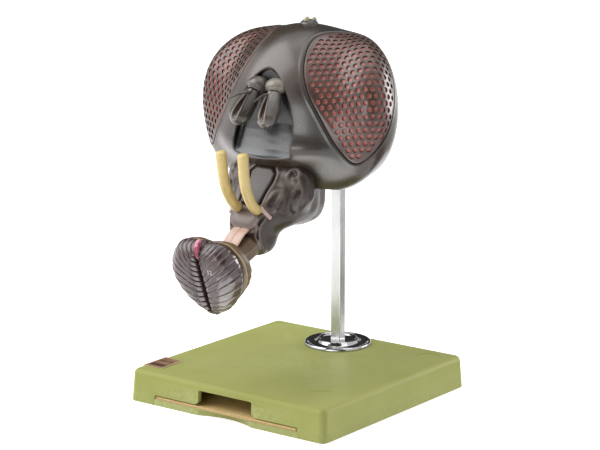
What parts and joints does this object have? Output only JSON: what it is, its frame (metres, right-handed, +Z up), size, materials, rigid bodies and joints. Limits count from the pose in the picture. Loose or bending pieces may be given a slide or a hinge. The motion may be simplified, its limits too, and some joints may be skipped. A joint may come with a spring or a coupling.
{
  "type": "insect head model on stand",
  "caption": "Enlarged fly head with compound eyes, antennae, palps and proboscis, lifted on a flat-sided rod above a moulded square base with a slot for a key booklet.",
  "frame": {"origin": "middle of the base's square foot, on the flat underside of the bottom board, level with the table", "axes": "+Z up along the rod; -Y towards the front, where the head faces and the booklet slot opens; +X to the right as seen from the front"},
  "size_m": [0.2052, 0.2306, 0.3211],
  "materials": {
    "head_paint": "satin grey-brown paint on a moulded shell",
    "eye_paint": "satin web with red-pink dimples",
    "antenna_paint": "satin, pale edges and a red-brown groove",
    "ocellus_paint": "glossy pale cream",
    "palp_paint": "satin pale yellow",
    "maxilla_paint": "pinkish, half shiny",
    "haustellum_paint": "satin olive-brown",
    "labrum_paint": "satin pale pink",
    "collar_paint": "satin olive-brown",
    "lobe_paint": "half-gloss dark red-brown, light ridges",
    "tissue_paint": "glossy crimson pink",
    "base_plastic": "satin olive-yellow green",
    "board_plastic": "satin olive-yellow green",
    "label_paper": "blank satin copper-brown sticker",
    "rosette_chrome": "polished",
    "rod_metal": "bright drawn, fine lengthwise lines",
    "fastener_steel": "zinc-plated",
    "socket_metal": "plain, as drawn",
    "cover_card": "uncoated tan card",
    "leaf_paper": "cream paper"
  },
  "bodies": {
    "stand": {"base_shell": "base_plastic", "bottom_board": "board_plastic", "board_screw_1": "fastener_steel", "board_screw_2": "fastener_steel", "board_screw_3": "fastener_steel", "board_screw_4": "fastener_steel", "name_label": "label_paper", "rosette": "rosette_chrome", "support_rod": "rod_metal", "rod_washer": "fastener_steel", "rod_nut": "fastener_steel"},
    "head": {"head_front_shell": "head_paint", "head_back_shell": "head_paint", "eye_left": "eye_paint", "eye_right": "eye_paint", "neck_stump": "head_paint", "rod_socket": "socket_metal", "antenna_pedicel_left": "head_paint", "antenna_club_left": "antenna_paint", "arista_left": "head_paint", "antenna_pedicel_right": "head_paint", "antenna_club_right": "antenna_paint", "arista_right": "head_paint", "ocellar_tubercle": "head_paint", "ocellus_front": "ocellus_paint", "ocellus_right": "ocellus_paint", "ocellus_left": "ocellus_paint", "rostrum": "head_paint", "clypeus_plate": "head_paint", "palp_left": "palp_paint", "maxilla_left": "maxilla_paint", "palp_right": "palp_paint", "maxilla_right": "maxilla_paint", "haustellum": "haustellum_paint", "labrum": "labrum_paint", "labellum_collar": "collar_paint", "labellum_lobe_left": "lobe_paint", "labellum_lobe_right": "lobe_paint", "mouth_tissue": "tissue_paint"},
    "booklet": {"booklet_cover": "cover_card", "booklet_leaves": "leaf_paper"}
  },
  "joints": [
    {"name": "head_lift", "type": "slide", "parent": "stand", "child": "head", "axis": [0, 0, 1], "range_m": [0, 0.06]},
    {"name": "booklet_slide", "type": "slide", "parent": "stand", "child": "booklet", "axis": [0, -1, 0], "range_m": [0, 0.1]}
  ]
}
